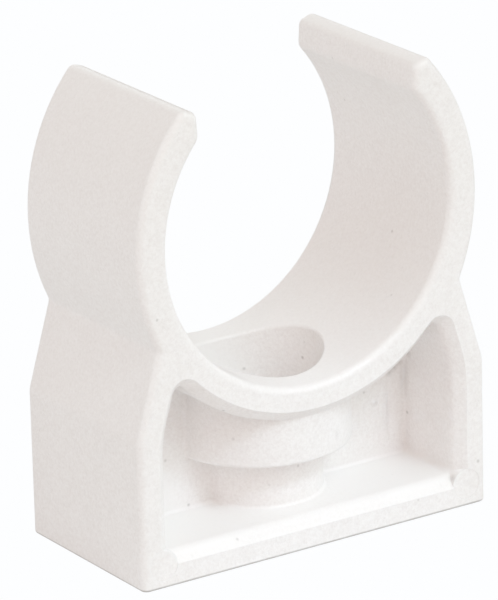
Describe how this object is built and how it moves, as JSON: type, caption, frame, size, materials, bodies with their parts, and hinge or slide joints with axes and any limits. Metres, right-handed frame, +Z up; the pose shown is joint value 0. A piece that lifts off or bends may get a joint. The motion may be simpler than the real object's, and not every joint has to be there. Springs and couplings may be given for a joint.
{
  "type": "pipe clip",
  "caption": "Moulded snap-in pipe clip: a C-shaped seat with springy arms on a base box hollowed from its ends, with a stepped boss and a head recess for a fixing screw.",
  "frame": {"origin": "centre of the base's underside", "axes": "+X across the pipe, +Y along the pipe, +Z up from the underside through the screw hole to the mouth"},
  "size_m": [0.0272, 0.0138, 0.0316],
  "materials": {
    "moulded_plastic": "warm off-white satin plastic, lightly grained and dusty, as moulded"
  },
  "bodies": {
    "root": {"pipe_clip": "moulded_plastic"}
  },
  "joints": []
}
